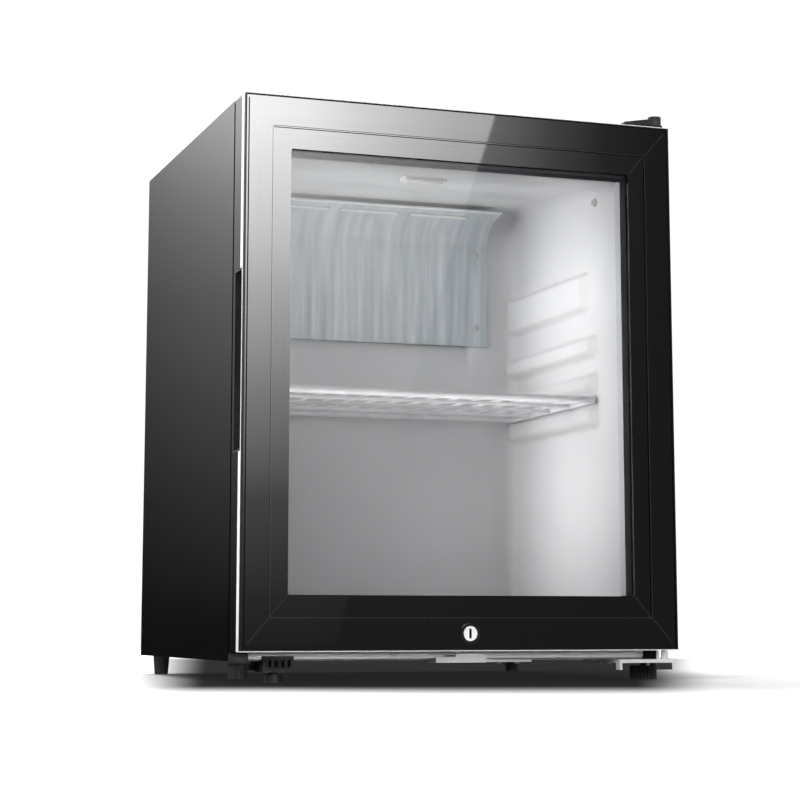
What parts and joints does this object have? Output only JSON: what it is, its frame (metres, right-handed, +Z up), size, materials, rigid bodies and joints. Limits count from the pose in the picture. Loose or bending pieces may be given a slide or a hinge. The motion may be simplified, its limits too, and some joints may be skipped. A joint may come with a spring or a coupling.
{
  "type": "mini fridge",
  "caption": "Free-standing glass-door mini fridge with a black metal door frame, key lock, side grip recess, wire shelf and absorption cooling unit.",
  "frame": {"origin": "centre of the footprint on the floor", "axes": "+Z up, the door faces -Y, +X to the right seen from the front (hinge side)"},
  "size_m": [0.4, 0.387, 0.511],
  "materials": {
    "shell_paint": "satin grey paint",
    "black_plastic": "moulded, fine grain",
    "zinc": "zinc plated sheet",
    "silver": "anodised, satin",
    "liner_white": "vacuum formed, semi gloss",
    "foam": "cut foam",
    "cover_blue": "translucent bluish",
    "aluminium": "mill finish",
    "screw_steel": "bright zinc",
    "lens": "frosted",
    "grey_plastic": "moulded grey",
    "shelf_white": "white powder coat",
    "hinge_steel": "bright zinc plate",
    "black_brushed": "black anodised, brushed",
    "glass": "clear float glass",
    "spacer_black": "dark blue black",
    "gasket_rubber": "soft",
    "magnet": "flexible ferrite strip",
    "lock_black": "black collar",
    "chrome": "polished",
    "nylon": "natural nylon",
    "unit_steel": "black painted tube",
    "wool": "mineral wool"
  },
  "bodies": {
    "cabinet": {"outer_shell": "shell_paint", "top_vent_grille": "black_plastic", "base_plate": "zinc", "front_beam": "silver", "back_panel": "zinc", "inner_liner": "liner_white", "foam_insulation": "foam", "evaporator_cover": "cover_blue", "evaporator_fins": "aluminium", "cabinet_screws": "screw_steel", "lamp_housing": "liner_white", "lamp_lens": "lens", "sensor_cap": "liner_white", "drain_tube": "grey_plastic", "top_hinge_bracket": "hinge_steel", "top_hinge_pin": "hinge_steel", "top_hinge_cover": "black_plastic", "bottom_hinge_bracket": "hinge_steel", "bottom_hinge_pins": "hinge_steel", "bottom_hinge_block": "black_plastic", "lock_strike": "hinge_steel", "left_foot_block": "black_plastic", "left_corner_post": "black_plastic", "rear_feet": "black_plastic", "unit_plug": "foam", "unit_mount_plate": "zinc", "evaporator_tube": "unit_steel", "condenser_tube": "unit_steel", "absorber_coil": "unit_steel", "condenser_fins": "aluminium", "boiler_case": "zinc", "boiler_insulation": "wool", "boiler_tube": "unit_steel", "heater_element": "chrome", "absorber_vessel": "unit_steel", "unit_brackets": "zinc", "control_box": "black_plastic", "cord_gland": "black_plastic"},
    "door": {"door_stile_left": "black_brushed", "door_stile_right": "black_brushed", "door_rail_top": "black_brushed", "door_rail_bottom": "black_brushed", "door_edge_trim": "silver", "glass_outer": "glass", "glass_inner": "glass", "glass_spacer": "spacer_black", "door_inner_frame": "grey_plastic", "corner_keys": "aluminium", "door_gasket": "gasket_rubber", "gasket_magnets": "magnet", "grip_insert": "black_plastic", "lock_housing": "lock_black", "door_hinge_bushes": "nylon"},
    "lock_barrel": {"lock_plug": "chrome", "lock_cam": "hinge_steel"},
    "shelf": {"wire_shelf": "shelf_white"},
    "knob": {"thermostat_knob": "grey_plastic"},
    "foot_right": {"front_foot_right": "black_plastic"},
    "foot_left": {"front_foot_left": "black_plastic"}
  },
  "joints": [
    {"name": "door_hinge", "type": "hinge", "parent": "cabinet", "child": "door", "pos_m": [0.192, -0.1805, 0.26], "axis": [0, 0, 1], "range_deg": [0, 120]},
    {"name": "lock_turn", "type": "hinge", "parent": "door", "child": "lock_barrel", "pos_m": [0.0027, -0.17, 0.0409], "axis": [0, -1, 0], "range_deg": [0, 90]},
    {"name": "shelf_slide", "type": "slide", "parent": "cabinet", "child": "shelf", "axis": [0, -1, 0], "range_m": [0, 0.05]},
    {"name": "knob_turn", "type": "hinge", "parent": "cabinet", "child": "knob", "pos_m": [-0.169, 0.17, 0.378], "axis": [0, 1, 0], "range_deg": [0, 270]},
    {"name": "foot_right_turn", "type": "hinge", "parent": "cabinet", "child": "foot_right", "pos_m": [0.187, -0.1475, 0.01], "axis": [0, 0, 1], "range_deg": [-180, 180]},
    {"name": "foot_left_turn", "type": "hinge", "parent": "cabinet", "child": "foot_left", "pos_m": [-0.159, -0.1475, 0.01], "axis": [0, 0, 1], "range_deg": [-180, 180]}
  ]
}
